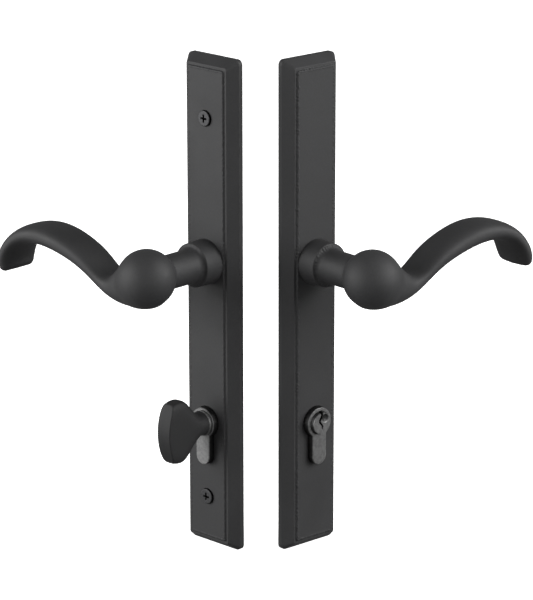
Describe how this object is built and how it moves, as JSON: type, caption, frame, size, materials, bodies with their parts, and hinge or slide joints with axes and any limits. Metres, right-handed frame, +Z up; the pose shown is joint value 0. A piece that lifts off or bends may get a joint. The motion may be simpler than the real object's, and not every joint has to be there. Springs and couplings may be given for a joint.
{
  "type": "door handle set",
  "caption": "Lever door handle set for a multipoint lock: bevelled black cast plates with curled levers, a thumbturn inside and a key cylinder outside.",
  "frame": {"origin": "middle of the set's width and depth, on the plane of the plates' lower edges", "axes": "+Z up the plates, +X from the inside half to the outside half, -Y out of the V towards the levers"},
  "size_m": [0.2967, 0.097, 0.2794],
  "materials": {
    "black_cast_bronze": "sand cast with a flat black patina",
    "dark_nickel_brass": "satin dark nickel",
    "blackened_steel": "black oxide",
    "zinc_plated_steel": "zinc plated",
    "spring_steel": "oiled spring steel",
    "brass": "turned",
    "acetal": "black acetal"
  },
  "bodies": {
    "set": {"interior_plate": "black_cast_bronze", "interior_collar": "black_cast_bronze", "interior_bush": "acetal", "interior_thrust_washer": "zinc_plated_steel", "interior_return_spring": "spring_steel", "upper_fixing_screw": "blackened_steel", "lower_fixing_screw": "blackened_steel", "interior_cylinder_body": "dark_nickel_brass", "exterior_plate": "black_cast_bronze", "exterior_collar": "black_cast_bronze", "exterior_bush": "acetal", "exterior_thrust_washer": "zinc_plated_steel", "exterior_return_spring": "spring_steel", "upper_fixing_post": "zinc_plated_steel", "lower_fixing_post": "zinc_plated_steel", "driver_pin_1": "brass", "pin_spring_1": "spring_steel", "chamber_cap_1": "brass", "driver_pin_2": "brass", "pin_spring_2": "spring_steel", "chamber_cap_2": "brass", "driver_pin_3": "brass", "pin_spring_3": "spring_steel", "chamber_cap_3": "brass", "driver_pin_4": "brass", "pin_spring_4": "spring_steel", "chamber_cap_4": "brass", "driver_pin_5": "brass", "pin_spring_5": "spring_steel", "chamber_cap_5": "brass", "exterior_cylinder_body": "dark_nickel_brass"},
    "interior_lever": {"interior_lever": "black_cast_bronze", "interior_spindle": "zinc_plated_steel", "interior_grub_screw": "zinc_plated_steel", "interior_retaining_ring": "spring_steel", "interior_drive_plate": "zinc_plated_steel"},
    "exterior_lever": {"exterior_lever": "black_cast_bronze", "exterior_spindle": "zinc_plated_steel", "exterior_grub_screw": "zinc_plated_steel", "exterior_retaining_ring": "spring_steel", "exterior_drive_plate": "zinc_plated_steel"},
    "thumbturn": {"thumbturn_rotor": "dark_nickel_brass", "thumbturn_knob": "black_cast_bronze", "thumbturn_set_screw": "zinc_plated_steel", "thumbturn_clip": "spring_steel"},
    "key_plug": {"key_plug": "dark_nickel_brass", "plug_clip": "spring_steel", "key_pin_1": "brass", "key_pin_2": "brass", "key_pin_3": "brass", "key_pin_4": "brass", "key_pin_5": "brass"}
  },
  "joints": [
    {"name": "interior_lever_turn", "type": "hinge", "parent": "set", "child": "interior_lever", "pos_m": [-0.03014, 0.00249, 0.1658], "axis": [-0.6921, -0.7218, 0], "range_deg": [-45, 45], "stiffness_Nm_per_rad": 4, "springref_deg": -2.86, "deforming": ["interior_return_spring"]},
    {"name": "exterior_lever_turn", "type": "hinge", "parent": "set", "child": "exterior_lever", "pos_m": [0.02973, 0.00212, 0.1658], "axis": [-0.6481, 0.7615, 0], "range_deg": [-45, 45], "stiffness_Nm_per_rad": 4, "springref_deg": -2.86, "deforming": ["exterior_return_spring"]},
    {"name": "thumbturn_turn", "type": "hinge", "parent": "set", "child": "thumbturn", "pos_m": [-0.03277, -0.00025, 0.0738], "axis": [-0.6921, -0.7218, 0], "continuous": true},
    {"name": "key_plug_turn", "type": "hinge", "parent": "set", "child": "key_plug", "pos_m": [0.03219, -0.00078, 0.0738], "axis": [0.6481, -0.7615, 0], "continuous": true}
  ]
}
